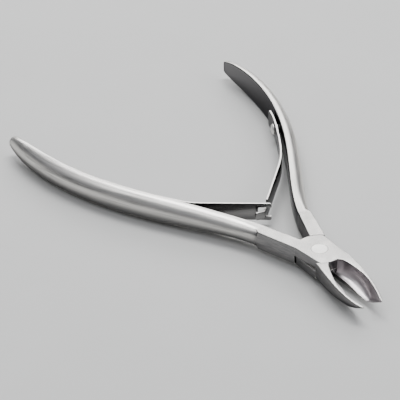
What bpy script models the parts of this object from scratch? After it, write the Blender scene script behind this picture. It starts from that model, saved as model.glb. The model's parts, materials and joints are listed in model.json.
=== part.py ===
"""Cuticle nipper with a lap joint and a pair of hooked leaf springs.

Frame: the pivot axis is the world Z axis and the joint's flat underside is at
z = 0, so the origin is the centre of the pivot rivet's lower face.  The jaws
point along +Y, the handles along -Y, and the nipper lies level with its jaws
open.  Lever A carries the handle on the +X side and the upper half of the lap
joint; lever B carries the handle on the -X side and the lower half.

Each lever is described once, in a plan whose handle is on +X and whose jaw is
on -X.  Lever B is the same plan mirrored in X.  Heights are measured from the
middle of the joint, and every object's location lifts it to that height.
"""

from math import acos, atan2, cos, degrees, pi, radians, sin, sqrt

import bmesh
import bpy
from mathutils import Matrix, Vector

MM = 0.001

# Mesh fineness and the reach of a cutter past the face it opens
SHARP_ANGLE = 32.0
ARC_STEP = 5.0
PIVOT_SEGMENTS = 48
RIVET_SEGMENTS = 24
CUTTER_REACH = 1.0

# Joint
JOINT_THICKNESS = 4.8
LAP_RADIUS = 5.9
LAP_SHOULDER_GAP = 0.06
LAP_FACE_GAP = 0.06
LAP_FLAT_OFFSET = 4.2
LAP_CORNER_ANGLE = 56.0
PIVOT_HEAD_RADIUS = 2.0
PIVOT_SHAFT_RADIUS = 1.5
PIVOT_HEAD_DEPTH = 0.5
PIVOT_RUNNING_GAP = 0.04
PIVOT_SEAT_PROUD = 0.5

# Jaws: widths from the meeting plane of the closed jaws, lengths from the pivot.
# Each jaw has its turn in degrees, its width at the joint and the two powers
# that round its outline toward the tip.
JAW_A = (0.6, 4.3, 2.4, 0.8)
JAW_B = (10.2, 3.4, 4.2, 0.8)
JAW_START = 4.4
JAW_TIP = 23.5
JAW_BLUNTNESS = 0.15
JAW_TIP_WIDTH = 0.25
JAW_MEETING_GAP = 0.02
JAW_STATIONS = (JAW_START, 5.0, 5.5, 6.0, 6.6, 7.4, 8.4, 9.6, 11.0, 12.5, 14.0, 15.4,
                16.7, 17.6, 18.2, 19.0, 19.8, 20.6, 21.4, 22.1, 22.7, 23.15, JAW_TIP)
RIM = 0.65
RIM_SHARE = 0.6
RIM_GROWTH = 1.15
RIM_GROWTH_END = 16.0
RIM_GROWTH_RUN = 7.0
RIM_GROWTH_POWER = 1.5
HOLLOW_START = 5.0
HOLLOW_RUN = 2.5
HOLLOW_POWER = 0.8
TOP_SLOPE_START = 7.0
TOP_SLOPE_POWER = 1.25
TIP_TOP = 0.75
BOTTOM_RISE_START = 18.2
BOTTOM_RISE_POWER = 1.2
TIP_BOTTOM = 0.45
FLOOR_THICK = 1.1
FLOOR_THIN = 0.12
FLOOR_SHARE = 0.4
FLOOR_START = 10.0
FLOOR_RUN = 8.0
SQUARE_POWER = 9.0
ROUND_POWER = 2.4
ROUNDING_START = 6.5
ROUNDING_RUN = 12.5

# Shank between the joint and the handle
SHANK_INNER = ((0.7, -3.2), (1.4, -5.95), (4.78, -15.1), (5.6, -16.3))
SHANK_OUTER = ((7.3, -15.9), (7.85, -14.2), (4.45, -3.8), (3.9, -1.2))

# Handle: plan curve of the flat inner face, then its section
HANDLE_CURVE = ((4.7, -15.1), (12.3, -33.8), (33.5, -52.0), (32.0, -86.2))
HANDLE_HALF_HEIGHT = 3.55
HANDLE_NECK_HALF_HEIGHT = 2.5
HANDLE_DEPTH = 3.4
HANDLE_NECK_DEPTH = 3.45
HANDLE_EDGE = 0.3
HANDLE_EDGE_SHARE = 0.3
HANDLE_ROUNDNESS = 0.9
NECK_ROUNDNESS = 0.5
NECK_LENGTH = 0.16
SWELL_LENGTH = 0.5
TAPER_START = 0.55
TAPER_LENGTH = 0.47
TAPER_HEIGHT_POWER = 6.5
TAPER_DEPTH_SHARE = 0.94
TAPER_DEPTH_POWER = 4
HANDLE_STATIONS = 26
START_RAMP = 1.6
START_HEIGHT = 0.9
START_DEPTH = 0.62
START_ANGLES = (15, 40, 65, 90)
END_DOME = 1.1
END_ANGLES = (60, 30, 12)
DOME_CENTRE = 0.4

# Springs
SPRING_THICKNESS = 0.5
SPRING_HALF_HEIGHT = 2.4
SPRING_SEAT = 0.614
SPRING_STANDOFF = 0.6
SPRING_TAIL = 6.0
TAIL_CORNER = 1.0
TAIL_CORNER_SHARES = (0.0, 0.35, 1.0)
TAIL_CORNER_DROP = 0.7
HEADING_TAIL = 16.0
HEADING_SEAT = 26.0
# Each leaf: heading at its root's end, free heading, root length and bend length
LEAF_A = (33.0, 53.5, 18.0, 7.0)
LEAF_B = (30.4, 46.1, 9.7, 13.6)
TAIL_STATION = -2.5
FREE_STATIONS = (28.0, 33.0)
FORK_END = 41.7
FORK_CORNER = 0.6
FORK_CORNER_DROP = 0.4
FORK_SLOT_START = 38.4
FORK_SLOT_HALF_HEIGHT = 1.28
TONGUE_START = 36.8
TONGUE_SHOULDER = 0.5
TONGUE_HALF_HEIGHT = 1.08
HOOK_START = 39.4
HOOK_RADIUS = 0.85
HOOK_TURN = 53.0
HOOK_TAIL = 2.0

# Spring rivets
RIVET_SHAFT_RADIUS = 0.8
RIVET_HEAD_RADIUS = 1.4
RIVET_HEAD_HEIGHT = 0.75
RIVET_COLLAR_RADIUS = 1.25
RIVET_GRIP = 2.1
RIVET_PLAY = 0.08
RIVET_HOLE_GAP = 0.06
RIVET_CROWN = 0.8
RIVET_CROWN_ANGLES = (18, 36, 54, 72, 90)

STEEL_SATIN = ((0.62, 0.60, 0.57, 1.0), 0.36)
STEEL_POLISHED = ((0.58, 0.57, 0.55, 1.0), 0.16)
STEEL_RIVET = ((0.68, 0.67, 0.64, 1.0), 0.30)


def clear_scene():
    for obj in list(bpy.data.objects):
        bpy.data.objects.remove(obj)


def new_collection(name):
    collection = bpy.data.collections.new(name)
    bpy.context.scene.collection.children.link(collection)
    return collection


def steel(name, look):
    colour, roughness = look
    material = bpy.data.materials.new(name)
    material.use_nodes = True
    shader = material.node_tree.nodes["Principled BSDF"]
    shader.inputs["Base Color"].default_value = colour
    shader.inputs["Metallic"].default_value = 1.0
    shader.inputs["Roughness"].default_value = roughness
    return material


def add_object(name, mesh, collection, material=None):
    obj = bpy.data.objects.new(name, mesh)
    obj.location.z = JOINT_THICKNESS / 2 * MM
    collection.objects.link(obj)
    if material:
        mesh.materials.append(material)
    return obj


def make_cutter(obj):
    obj.hide_render = True
    obj.display_type = "WIRE"
    return obj


def mesh_from(name, bm):
    bmesh.ops.recalc_face_normals(bm, faces=bm.faces[:])
    mesh = bpy.data.meshes.new(name)
    bm.to_mesh(mesh)
    bm.free()
    mesh.shade_smooth()
    mesh.set_sharp_from_angle(angle=radians(SHARP_ANGLE))
    return mesh


def loft(name, rings):
    """Skin closed rings of equal point counts and cap both ends."""
    bm = bmesh.new()
    loops = []
    for ring in rings:
        loops.append([bm.verts.new(Vector(point) * MM) for point in ring])
    for first, second in zip(loops, loops[1:]):
        for i in range(len(first)):
            j = (i + 1) % len(first)
            bm.faces.new((first[i], first[j], second[j], second[i]))
    bm.faces.new(loops[0])
    bm.faces.new(loops[-1])
    return mesh_from(name, bm)


def plate(name, outline, bottom, top):
    """Extrude a flat outline between two heights."""
    curve = bpy.data.curves.new(name, "CURVE")
    curve.dimensions = "2D"
    curve.fill_mode = "BOTH"
    curve.extrude = (top - bottom) / 2 * MM
    spline = curve.splines.new("POLY")
    spline.points.add(len(outline) - 1)
    for point, (x, y) in zip(spline.points, outline):
        point.co = (x * MM, y * MM, 0.0, 1.0)
    spline.use_cyclic_u = True
    guide = bpy.data.objects.new(name + "_outline", curve)
    bpy.context.scene.collection.objects.link(guide)
    bpy.context.view_layer.update()
    depsgraph = bpy.context.evaluated_depsgraph_get()
    flat = bpy.data.meshes.new_from_object(guide.evaluated_get(depsgraph))
    bpy.data.objects.remove(guide)
    bm = bmesh.new()
    bm.from_mesh(flat)
    bpy.data.meshes.remove(flat)
    bmesh.ops.remove_doubles(bm, verts=bm.verts[:], dist=1e-6)
    bmesh.ops.translate(bm, verts=bm.verts[:], vec=(0, 0, (top + bottom) / 2 * MM))
    return mesh_from(name, bm)


def turned(name, profile, segments, collection, material=None):
    """Turn a profile of (radius, height) pairs, listed top to bottom."""
    mesh = bpy.data.meshes.new(name)
    points = [(r * MM, 0.0, z * MM) for r, z in profile]
    edges = [(i, i + 1) for i in range(len(points) - 1)]
    mesh.from_pydata(points, edges, [])
    obj = add_object(name, mesh, collection, material)
    screw = obj.modifiers.new("turn", "SCREW")
    screw.steps = segments
    screw.render_steps = segments
    screw.use_merge_vertices = True
    screw.merge_threshold = 1e-6
    screw.use_smooth_shade = True
    return obj


def boolean(obj, tool, operation):
    modifier = obj.modifiers.new(operation.lower(), "BOOLEAN")
    modifier.object = tool
    modifier.operation = operation
    modifier.solver = "EXACT"


def smooth(value):
    value = min(max(value, 0.0), 1.0)
    return value * value * (3.0 - 2.0 * value)


def arc_points(radius, start, end):
    count = max(2, int(abs(end - start) / ARC_STEP + 0.5))
    points = []
    for i in range(count + 1):
        angle = radians(start + (end - start) * i / count)
        points.append((radius * cos(angle), radius * sin(angle)))
    return points


# ---------------------------------------------------------------- handle

def handle_point(t):
    """Point and unit tangent of the handle's inner face in plan."""
    p0, p1, p2, p3 = (Vector(p) for p in HANDLE_CURVE)
    s = 1.0 - t
    point = p0 * s**3 + p1 * 3 * s * s * t + p2 * 3 * s * t * t + p3 * t**3
    slope = (p1 - p0) * s * s + (p2 - p1) * 2 * s * t + (p3 - p2) * t * t
    return point, slope.normalized()


def handle_size(t):
    """Half height and depth of the handle's section."""
    swell = smooth(t / SWELL_LENGTH)
    taper = max(0.0, (t - TAPER_START) / TAPER_LENGTH)
    height = HANDLE_NECK_HALF_HEIGHT
    height += (HANDLE_HALF_HEIGHT - HANDLE_NECK_HALF_HEIGHT) * swell
    height *= sqrt(max(0.0, 1.0 - taper**TAPER_HEIGHT_POWER))
    depth = HANDLE_NECK_DEPTH + (HANDLE_DEPTH - HANDLE_NECK_DEPTH) * swell
    depth *= sqrt(max(0.0, 1.0 - (taper * TAPER_DEPTH_SHARE)**TAPER_DEPTH_POWER))
    return height, depth


def handle_section(t, half_height, depth, count=13):
    """D section: a flat inner face and a convex outer one, as (out, z)."""
    edge = min(HANDLE_EDGE, half_height * HANDLE_EDGE_SHARE, depth * HANDLE_EDGE_SHARE)
    round_off = smooth(t / NECK_LENGTH)
    power = NECK_ROUNDNESS + (HANDLE_ROUNDNESS - NECK_ROUNDNESS) * round_off
    ring = [(0.0, half_height - edge)]
    for i in range(count):
        angle = pi / 2 - pi * i / (count - 1)
        out = edge + (depth - edge) * abs(cos(angle))**power
        z = half_height * sin(angle)
        ring.append((out, z))
    ring.append((0.0, edge - half_height))
    return ring


def handle_stations():
    """(t, length beyond the curve's end, height share, depth share) of each ring."""
    stations = []
    for angle in START_ANGLES:
        grow = sin(radians(angle))
        stations.append((0.0, -START_RAMP * cos(radians(angle)),
                         START_HEIGHT + (1.0 - START_HEIGHT) * grow,
                         START_DEPTH + (1.0 - START_DEPTH) * grow))
    for i in range(1, HANDLE_STATIONS + 1):
        stations.append((i / HANDLE_STATIONS, 0.0, 1.0, 1.0))
    for angle in END_ANGLES:
        shrink = sin(radians(angle))
        stations.append((1.0, END_DOME * cos(radians(angle)), shrink, shrink))
    return stations


def handle_mesh(name, side):
    rings = []
    for t, beyond, height_share, depth_share in handle_stations():
        point, tangent = handle_point(t)
        height, depth = handle_size(t)
        outward = Vector((-tangent.y, tangent.x))
        base = point + tangent * beyond
        base += outward * depth * (1.0 - depth_share) * DOME_CENTRE
        ring = []
        for out, z in handle_section(t, height * height_share, depth * depth_share):
            plan = base + outward * out
            ring.append((side * plan.x, plan.y, z))
        rings.append(ring)
    return loft(name, rings)


# ------------------------------------------------------------------- jaw

def jaw_width(jaw, y):
    """Half width of one jaw's outline at a distance from the pivot axis."""
    _, base, outline_power, root = jaw
    along = min(y / (JAW_TIP + JAW_BLUNTNESS), 1.0)
    return JAW_TIP_WIDTH + (base - JAW_TIP_WIDTH) * (1.0 - along**outline_power)**root


def jaw_hollow(y, width):
    """Half width of the hollow inside a rim that thickens toward the joint."""
    back = max(0.0, (RIM_GROWTH_END - y) / RIM_GROWTH_RUN)
    rim = min(RIM + RIM_GROWTH * back**RIM_GROWTH_POWER,
              RIM_SHARE * width + RIM_GROWTH * back)
    opened = min(max((y - HOLLOW_START) / HOLLOW_RUN, 0.0), 1.0)
    return max(0.0, width - rim) * (1.0 - (1.0 - opened)**2)


def jaw_heights(y):
    """Top, bottom and floor thickness of the jaw."""
    half = JOINT_THICKNESS / 2
    slope = max(0.0, (y - TOP_SLOPE_START) / (JAW_TIP - TOP_SLOPE_START))
    top = half - (half - TIP_TOP) * slope**TOP_SLOPE_POWER
    rise = max(0.0, (y - BOTTOM_RISE_START) / (JAW_TIP - BOTTOM_RISE_START))
    bottom = -half + (half + TIP_BOTTOM) * rise**BOTTOM_RISE_POWER
    thinning = smooth((y - FLOOR_START) / FLOOR_RUN)
    floor = FLOOR_THICK + (FLOOR_THIN - FLOOR_THICK) * thinning
    return top, bottom, min(floor, (top - bottom) * FLOOR_SHARE)


def jaw_section(jaw, y, count=9):
    """Half-spoon section as (distance from the meeting plane, z)."""
    width = jaw_width(jaw, y)
    inner = jaw_hollow(y, width)
    top, bottom, floor = jaw_heights(y)
    rounding = smooth((y - ROUNDING_START) / ROUNDING_RUN)
    power = 2.0 / (SQUARE_POWER + (ROUND_POWER - SQUARE_POWER) * rounding)
    angles = [pi / 2 * i / (count - 1) for i in range(count)]
    drop = top - bottom
    ring = [(width * cos(a)**power, top - drop * sin(a)**power) for a in angles[:-1]]
    ring.append((0.0, bottom))
    ring.append((0.0, bottom + floor))
    depth = drop - floor
    for a in reversed(angles[:-1]):
        ring.append((inner * cos(a)**HOLLOW_POWER, top - depth * sin(a)**HOLLOW_POWER))
    return ring


def jaw_mesh(name, side, jaw):
    rotation = Matrix.Rotation(radians(jaw[0]), 2)
    rings = []
    for y in JAW_STATIONS:
        ring = []
        for out, z in jaw_section(jaw, y):
            plan = rotation @ Vector((-out - JAW_MEETING_GAP, y))
            ring.append((side * plan.x, plan.y, z))
        rings.append(ring)
    return loft(name, rings)


# ----------------------------------------------------------------- lever

def lap_outline(side):
    """Round lap face with a flat on each side."""
    cut = 180.0 - degrees(acos(LAP_FLAT_OFFSET / LAP_RADIUS))
    right_low = degrees(atan2(SHANK_OUTER[2][1], SHANK_OUTER[2][0]))
    points = arc_points(LAP_RADIUS, LAP_CORNER_ANGLE, cut)
    points += arc_points(LAP_RADIUS, 360.0 - cut, 360.0 + right_low)
    return [(side * x, y) for x, y in points]


def pivot_profile(grow, proud):
    """Shaft with a coned seat at each face, as (radius, height)."""
    half = JOINT_THICKNESS / 2 + proud
    head = JOINT_THICKNESS / 2 - PIVOT_HEAD_DEPTH
    cone = head - (PIVOT_HEAD_RADIUS - PIVOT_SHAFT_RADIUS)
    wide = PIVOT_HEAD_RADIUS + grow
    narrow = PIVOT_SHAFT_RADIUS + grow
    upper = [(0.0, half), (wide, half), (wide, head), (narrow, cone)]
    return upper + [(r, -z) for r, z in reversed(upper)]


def lever(name, side, shape, material, parts, cutters):
    """One lever: handle, shank, lap half and half-spoon jaw."""
    upper = side > 0
    half = JOINT_THICKNESS / 2
    body = add_object(name, handle_mesh(name, side), parts, material)

    outline = [(side * x, y) for x, y in SHANK_INNER + SHANK_OUTER]
    shank = plate(name + "_shank", outline, -half, half)
    boolean(body, make_cutter(add_object(shank.name, shank, cutters)), "UNION")

    jaw = jaw_mesh(name + "_jaw", side, shape)
    boolean(body, make_cutter(add_object(jaw.name, jaw, cutters)), "UNION")

    shoulder = LAP_RADIUS + LAP_SHOULDER_GAP
    low, high = (-half - CUTTER_REACH, LAP_FACE_GAP / 2)
    if not upper:
        low, high = (-high, -low)
    ring = arc_points(shoulder, 0.0, 360.0 - ARC_STEP)
    recess = plate(name + "_recess", ring, low, high)
    boolean(body, make_cutter(add_object(recess.name, recess, cutters)), "DIFFERENCE")

    low, high = (LAP_FACE_GAP / 2, half)
    if not upper:
        low, high = (-high, -low)
    lap = plate(name + "_lap", lap_outline(side), low, high)
    boolean(body, make_cutter(add_object(lap.name, lap, cutters)), "UNION")
    return body


def pivot(parts, cutters, material, levers):
    """Flush rivet on the pivot axis, and its seats in both levers."""
    turned("pivot_rivet", pivot_profile(0.0, 0.0), PIVOT_SEGMENTS, parts, material)
    profile = pivot_profile(PIVOT_RUNNING_GAP, PIVOT_SEAT_PROUD)
    seat = make_cutter(turned("pivot_seat", profile, PIVOT_SEGMENTS, cutters))
    for body in levers:
        boolean(body, seat, "DIFFERENCE")


# --------------------------------------------------------------- springs

def spring_seat():
    """Spring's seat point in plan and the direction out to the handle."""
    point, tangent = handle_point(SPRING_SEAT)
    outward = Vector((-tangent.y, tangent.x))
    return point - outward * (SPRING_STANDOFF + SPRING_THICKNESS / 2), outward


def spring_heading(leaf, s):
    """Heading from +Y toward -X, in degrees, at a length past the seat."""
    root, free, root_length, bend_length = leaf
    if s < 0.0:
        return HEADING_SEAT + (HEADING_SEAT - HEADING_TAIL) * s / SPRING_TAIL
    if s < root_length:
        return HEADING_SEAT + (root - HEADING_SEAT) * s / root_length
    return root + (free - root) * smooth((s - root_length) / bend_length)


def spring_point(leaf, s, step=0.25):
    """Plan point of the leaf's middle at a length past the seat."""
    point = spring_seat()[0].copy()
    count = max(1, round(abs(s) / step))
    for i in range(count):
        angle = radians(spring_heading(leaf, s * (i + 0.5) / count))
        point += Vector((-sin(angle), cos(angle))) * s / count
    return point


def leaf_stations(leaf, end):
    """Lengths past the seat: close in the bend, wide on the straights."""
    _, _, root_length, bend_length = leaf
    stations = [share * TAIL_CORNER - SPRING_TAIL for share in TAIL_CORNER_SHARES]
    stations += [TAIL_STATION, 0.0]
    stations += [root_length * i / 4 for i in range(1, 4)]
    stations += [root_length + bend_length * i / 8 for i in range(9)]
    return stations + list(FREE_STATIONS + end)


def leaf_mesh(name, side, track):
    """Vertical sheet through (x, y, half height) points, side by side."""
    bm = bmesh.new()
    columns = []
    for x, y, half_height in track:
        low = bm.verts.new((side * x * MM, y * MM, -half_height * MM))
        high = bm.verts.new((side * x * MM, y * MM, half_height * MM))
        columns.append((low, high))
    for (low, high), (next_low, next_high) in zip(columns, columns[1:]):
        bm.faces.new((low, next_low, next_high, high))
    mesh = bpy.data.meshes.new(name)
    bm.to_mesh(mesh)
    bm.free()
    return mesh


def leaf_height(s):
    """Half height of the leaf, rounded off at its tail and at the fork's end."""
    tail = max(0.0, 1.0 - (s + SPRING_TAIL) / TAIL_CORNER)
    fork = max(0.0, 1.0 - (FORK_END - s) / FORK_CORNER)
    return SPRING_HALF_HEIGHT - TAIL_CORNER_DROP * tail**2 - FORK_CORNER_DROP * fork**2


def fork_track():
    """Leaf A: full height to its open fork."""
    track = []
    end = (FORK_END - FORK_CORNER, FORK_END - FORK_CORNER / 3, FORK_END)
    for s in leaf_stations(LEAF_A, end):
        point = spring_point(LEAF_A, s)
        track.append((point.x, point.y, leaf_height(s)))
    return track


def hook_track():
    """Leaf B: full height, then a narrow tongue that bends to a hook."""
    track = []
    for s in leaf_stations(LEAF_B, (TONGUE_START,)):
        point = spring_point(LEAF_B, s)
        track.append((point.x, point.y, leaf_height(s)))
    for s in (TONGUE_START + TONGUE_SHOULDER, HOOK_START):
        point = spring_point(LEAF_B, s)
        track.append((point.x, point.y, TONGUE_HALF_HEIGHT))
    heading = radians(LEAF_B[1])
    along = Vector((-sin(heading), cos(heading)))
    across = Vector((-cos(heading), -sin(heading)))
    start = spring_point(LEAF_B, HOOK_START)
    for i in range(1, 6):
        turn = radians(HOOK_TURN * i / 5)
        point = start + along * HOOK_RADIUS * sin(turn)
        point += across * HOOK_RADIUS * (1.0 - cos(turn))
        track.append((point.x, point.y, TONGUE_HALF_HEIGHT))
    point += (along * cos(turn) + across * sin(turn)) * HOOK_TAIL
    track.append((point.x, point.y, TONGUE_HALF_HEIGHT))
    return track


def leaf(name, side, track, material, parts):
    """Spring leaf of even thickness, its origin on its flexing axis."""
    obj = add_object(name, leaf_mesh(name, side, track), parts, material)
    seat = spring_seat()[0]
    origin = Vector((side * seat.x * MM, seat.y * MM, 0.0))
    obj.data.transform(Matrix.Translation(-origin))
    obj.location += origin
    solid = obj.modifiers.new("thickness", "SOLIDIFY")
    solid.thickness = SPRING_THICKNESS * MM
    solid.offset = 0.0
    solid.use_even_offset = True
    return obj


def fork_slot(spring, cutters):
    """Slot between the two prongs, open at the leaf's end."""
    start = spring_point(LEAF_A, FORK_SLOT_START)
    end = spring_point(LEAF_A, FORK_END + CUTTER_REACH)
    along = (end - start).normalized()
    across = Vector((-along.y, along.x))
    corners = (start + across, end + across, end - across, start - across)
    height = FORK_SLOT_HALF_HEIGHT
    mesh = plate("fork_slot", [(p.x, p.y) for p in corners], -height, height)
    boolean(spring, make_cutter(add_object(mesh.name, mesh, cutters)), "DIFFERENCE")


def rivet_profile():
    """Domed head, collar between leaf and handle, and shaft, head first."""
    leaf_half = SPRING_THICKNESS / 2
    head_face = leaf_half + RIVET_PLAY
    profile = [(0.0, head_face + RIVET_HEAD_HEIGHT)]
    for angle in RIVET_CROWN_ANGLES:
        radius = RIVET_HEAD_RADIUS * sin(radians(angle))
        rise = RIVET_HEAD_HEIGHT * (1.0 - RIVET_CROWN * (1.0 - cos(radians(angle))))
        profile.append((radius, head_face + rise))
    collar_top = -leaf_half - RIVET_PLAY
    collar_end = RIVET_PLAY - SPRING_STANDOFF - leaf_half
    shaft = RIVET_SHAFT_RADIUS
    profile += [(RIVET_HEAD_RADIUS, head_face), (shaft, head_face)]
    profile += [(shaft, collar_top), (RIVET_COLLAR_RADIUS, collar_top)]
    profile += [(RIVET_COLLAR_RADIUS, collar_end), (shaft, collar_end)]
    return profile + [(shaft, collar_end - RIVET_GRIP), (0.0, collar_end - RIVET_GRIP)]


def place_across_leaf(obj, side):
    """Stand a turned piece on the leaf with its head toward the inside."""
    seat, outward = spring_seat()
    axis = Vector((-side * outward.x, -outward.y, 0.0))
    obj.location += Vector((side * seat.x * MM, seat.y * MM, 0.0))
    obj.rotation_euler = axis.to_track_quat("Z", "Y").to_euler()


def spring_rivet(name, side, bodies, material, parts, cutters):
    """Collared rivet and its hole through the leaf into the handle."""
    rivet = turned(name, rivet_profile(), RIVET_SEGMENTS, parts, material)
    place_across_leaf(rivet, side)
    deep = SPRING_STANDOFF + SPRING_THICKNESS / 2 + RIVET_GRIP
    radius = RIVET_SHAFT_RADIUS + RIVET_HOLE_GAP
    hole = [(0.0, CUTTER_REACH), (radius, CUTTER_REACH), (radius, -deep), (0.0, -deep)]
    cutter = make_cutter(turned(name + "_hole", hole, RIVET_SEGMENTS, cutters))
    place_across_leaf(cutter, side)
    for body in bodies:
        boolean(body, cutter, "DIFFERENCE")


def build():
    clear_scene()
    parts = new_collection("cuticle_nipper")
    cutters = new_collection("cutters")
    satin = steel("satin_steel", STEEL_SATIN)
    polished = steel("polished_steel", STEEL_POLISHED)
    bright = steel("rivet_steel", STEEL_RIVET)

    lever_a = lever("lever_a", 1, JAW_A, satin, parts, cutters)
    lever_b = lever("lever_b", -1, JAW_B, satin, parts, cutters)
    pivot(parts, cutters, bright, (lever_a, lever_b))

    spring_a = leaf("spring_a", 1, fork_track(), polished, parts)
    spring_b = leaf("spring_b", -1, hook_track(), polished, parts)
    fork_slot(spring_a, cutters)
    spring_rivet("spring_rivet_a", 1, (lever_a, spring_a), bright, parts, cutters)
    spring_rivet("spring_rivet_b", -1, (lever_b, spring_b), bright, parts, cutters)


build()
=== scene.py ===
"""Studio scene of a cuticle nipper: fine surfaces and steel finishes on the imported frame."""

import json
from math import acos, atan2, cos, degrees, pi, radians, sin, sqrt, tan

import bmesh
import bpy
import numpy as np
from mathutils import Matrix, Vector


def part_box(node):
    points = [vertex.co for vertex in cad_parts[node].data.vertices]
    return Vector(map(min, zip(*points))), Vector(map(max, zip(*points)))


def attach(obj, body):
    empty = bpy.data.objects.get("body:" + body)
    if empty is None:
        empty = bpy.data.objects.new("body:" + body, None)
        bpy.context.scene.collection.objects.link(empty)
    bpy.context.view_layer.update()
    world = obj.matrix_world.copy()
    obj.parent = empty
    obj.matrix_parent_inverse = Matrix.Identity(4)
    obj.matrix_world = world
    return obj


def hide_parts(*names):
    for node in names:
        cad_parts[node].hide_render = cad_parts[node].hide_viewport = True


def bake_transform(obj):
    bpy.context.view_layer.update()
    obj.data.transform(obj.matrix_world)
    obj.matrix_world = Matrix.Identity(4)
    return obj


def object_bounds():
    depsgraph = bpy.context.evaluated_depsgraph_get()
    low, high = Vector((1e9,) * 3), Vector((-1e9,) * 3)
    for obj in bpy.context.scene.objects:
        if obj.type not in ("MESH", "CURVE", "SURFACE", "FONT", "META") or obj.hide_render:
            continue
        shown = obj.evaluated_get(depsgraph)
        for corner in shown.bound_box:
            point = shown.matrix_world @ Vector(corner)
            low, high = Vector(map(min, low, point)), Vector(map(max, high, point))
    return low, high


MM = 0.001

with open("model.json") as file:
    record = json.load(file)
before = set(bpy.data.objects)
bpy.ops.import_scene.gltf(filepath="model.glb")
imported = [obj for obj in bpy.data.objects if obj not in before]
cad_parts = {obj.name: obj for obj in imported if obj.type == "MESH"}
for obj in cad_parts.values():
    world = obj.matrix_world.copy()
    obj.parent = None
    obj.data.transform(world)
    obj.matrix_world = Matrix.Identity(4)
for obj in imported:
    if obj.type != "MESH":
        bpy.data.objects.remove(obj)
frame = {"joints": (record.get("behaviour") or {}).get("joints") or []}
cad_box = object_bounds()
joints = {j["name"]: j for j in frame["joints"]}

# Read from the frame: height of the joint's middle in metres, sizes in millimetres
rivet_low, rivet_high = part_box("pivot_rivet")
leaf_low, leaf_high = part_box("spring_a")
LIFT = (rivet_high.z + rivet_low.z) / 2
HALF_JOINT = (rivet_high.z - rivet_low.z) / 2 / MM
PIVOT_HEAD_RADIUS = rivet_high.x / MM
SEAT = Vector(joints["spring_a_flex"]["pos_m"][:2]) / MM
SPRING_HALF_HEIGHT = (leaf_high.z - leaf_low.z) / 2 / MM

# From here on sizes are in millimetres and angles in degrees, unless a comment says otherwise

# Fineness of the meshes
ARC_STEP = 3.0
FILLET_STEPS = 4
LEAF_FILLET_STEPS = 3
SLOT_CORNER_STEPS = 6
PIVOT_SEGMENTS = 96
RIVET_SEGMENTS = 64
HOLE_SEGMENTS = 48
SHARP_ANGLE = 32.0
LEAF_SHARP_ANGLE = 40.0
# How far a cutter stands past what it cuts
CUTTER_REACH = 1.0
# A fillet takes no more than this share of its room, a mitre no less than this cosine
FILLET_LIMIT = 0.3
MITRE_LIMIT = 0.5

# Joint
LAP_RADIUS = 5.9
LAP_SHOULDER_GAP = 0.06
LAP_FACE_GAP = 0.06
LAP_FLAT_OFFSET = 4.2
LAP_CORNER_ANGLE = 56.0
PIVOT_SHAFT_RADIUS = 1.5
PIVOT_HEAD_DEPTH = 0.5
PIVOT_RUNNING_GAP = 0.04
PIVOT_SEAT_PROUD = 0.5
PIVOT_PROUD = 0.03
PIVOT_FILLET = 0.1
EDGE_ROUND = 0.16

# Jaws: turn in degrees, width at the joint and the two powers of the outline
JAW_A = (0.6, 4.3, 2.4, 0.8)
JAW_B = (10.2, 3.4, 4.2, 0.8)
JAW_START = 4.4
JAW_TIP = 23.5
JAW_BLUNTNESS = 0.15
JAW_TIP_WIDTH = 0.25
JAW_MEETING_GAP = 0.02
JAW_STEP = 0.2
JAW_FINE_START = 22.2
JAW_FINE_STATIONS = (22.4, 22.6, 22.8, 22.95, 23.1, 23.22, 23.32, 23.42, JAW_TIP)
JAW_ARC_POINTS = 26
RIM = 0.65
RIM_SHARE = 0.6
RIM_GROWTH = 1.15
RIM_GROWTH_END = 16.0
RIM_GROWTH_RUN = 7.0
RIM_GROWTH_POWER = 1.5
RIM_ROUND = 0.14
RIM_ROUND_LIMIT = 0.15
HOLLOW_START = 5.0
HOLLOW_RUN = 2.5
HOLLOW_POWER = 0.8
TOP_SLOPE_START = 7.0
TOP_SLOPE_POWER = 1.25
TIP_TOP = 0.75
BOTTOM_RISE_START = 18.2
BOTTOM_RISE_POWER = 1.2
TIP_BOTTOM = 0.45
FLOOR_THICK = 1.1
FLOOR_THIN = 0.12
FLOOR_SHARE = 0.4
FLOOR_START = 10.0
FLOOR_RUN = 8.0
SQUARE_POWER = 9.0
ROUND_POWER = 2.4
ROUNDING_START = 6.5
ROUNDING_RUN = 12.5

# Shank
SHANK_INNER = ((0.7, -3.2), (1.4, -5.95), (4.78, -15.1), (5.6, -16.3))
SHANK_OUTER = ((7.3, -15.9), (7.85, -14.2), (4.45, -3.8), (3.9, -1.2))

# Handle: starts and lengths of its neck, swell and taper are shares of its curve
HANDLE_CURVE = ((4.7, -15.1), (12.3, -33.8), (33.5, -52.0), (32.0, -86.2))
HANDLE_HALF_HEIGHT = 3.55
HANDLE_NECK_HALF_HEIGHT = 2.5
HANDLE_DEPTH = 3.4
HANDLE_NECK_DEPTH = 3.45
HANDLE_EDGE = 0.36
HANDLE_ROUNDNESS = 0.9
HANDLE_QUARTER_POINTS = 16
NECK_ROUNDNESS = 0.5
NECK_LENGTH = 0.16
SWELL_LENGTH = 0.5
TAPER_START = 0.55
TAPER_LENGTH = 0.47
TAPER_HEIGHT_POWER = 6.5
TAPER_DEPTH_SHARE = 0.94
TAPER_DEPTH_POWER = 4
HANDLE_STATIONS = 120
START_RAMP = 1.6
START_HEIGHT = 0.9
START_DEPTH = 0.62
START_ANGLES = (15, 22, 30, 40, 52, 65, 78, 90)
END_DOME = 1.1
END_ANGLES = (75, 60, 45, 30, 20, 12)
DOME_CENTRE = 0.4

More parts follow.
